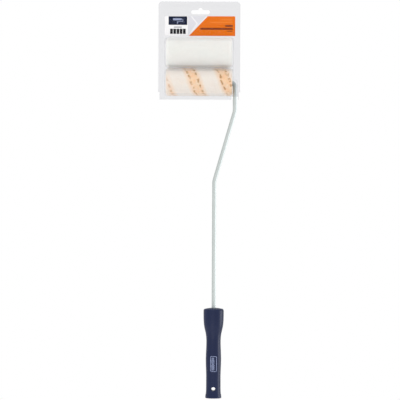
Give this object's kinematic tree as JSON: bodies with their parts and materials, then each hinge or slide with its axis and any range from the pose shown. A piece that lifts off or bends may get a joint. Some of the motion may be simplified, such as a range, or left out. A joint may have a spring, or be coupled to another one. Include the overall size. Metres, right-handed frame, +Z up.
{
  "type": "paint roller",
  "caption": "Long-reach mini paint roller: moulded handle, cranked steel wire and turning pile sleeve, with a spare foam sleeve in a clear hinged hang pack.",
  "frame": {"origin": "centre of the flat butt end of the handle", "axes": "+Z up the handle and the wire, +X towards the side that the wire bends out to, -Y towards the front of the pack"},
  "size_m": [0.1213, 0.0464, 0.5871],
  "materials": {
    "handle_plastic": "satin",
    "wire_steel": "satin",
    "washer_steel": "satin",
    "spring_steel": "satin",
    "cage_plastic": "satin",
    "core_plastic": "satin",
    "plug_plastic": "satin",
    "pile_fabric": "matte",
    "foam": "matte",
    "clear_film": "gloss",
    "card_print": "satin"
  },
  "bodies": {
    "frame": {"handle": "handle_plastic", "wire": "wire_steel", "inner_washer": "washer_steel", "outer_washer": "washer_steel", "push_nut": "spring_steel"},
    "roller": {"cage_inner_hub": "cage_plastic", "cage_outer_hub": "cage_plastic", "cage_barrel": "cage_plastic", "sleeve_core": "core_plastic", "sleeve_pile": "pile_fabric", "sleeve_end_plug": "plug_plastic"},
    "front_half": {"pack_front": "clear_film", "header_card": "card_print"},
    "back_half": {"pack_back": "clear_film"},
    "spare_sleeve": {"spare_core": "core_plastic", "spare_foam": "foam", "spare_end_plug": "plug_plastic"}
  },
  "joints": [
    {"name": "roller_spin", "type": "hinge", "parent": "frame", "child": "roller", "pos_m": [-0.0232, 0, 0.468], "axis": [1, 0, 0], "continuous": true},
    {"name": "front_half_open", "type": "hinge", "parent": "frame", "child": "front_half", "pos_m": [-0.02295, 0, 0.4419], "axis": [1, 0, 0], "range_deg": [0, 90]},
    {"name": "back_half_open", "type": "hinge", "parent": "frame", "child": "back_half", "pos_m": [-0.02295, 0, 0.4419], "axis": [-1, 0, 0], "range_deg": [0, 90]},
    {"name": "spare_spin", "type": "hinge", "parent": "back_half", "child": "spare_sleeve", "pos_m": [-0.0232, 0, 0.5114], "axis": [1, 0, 0], "continuous": true}
  ]
}
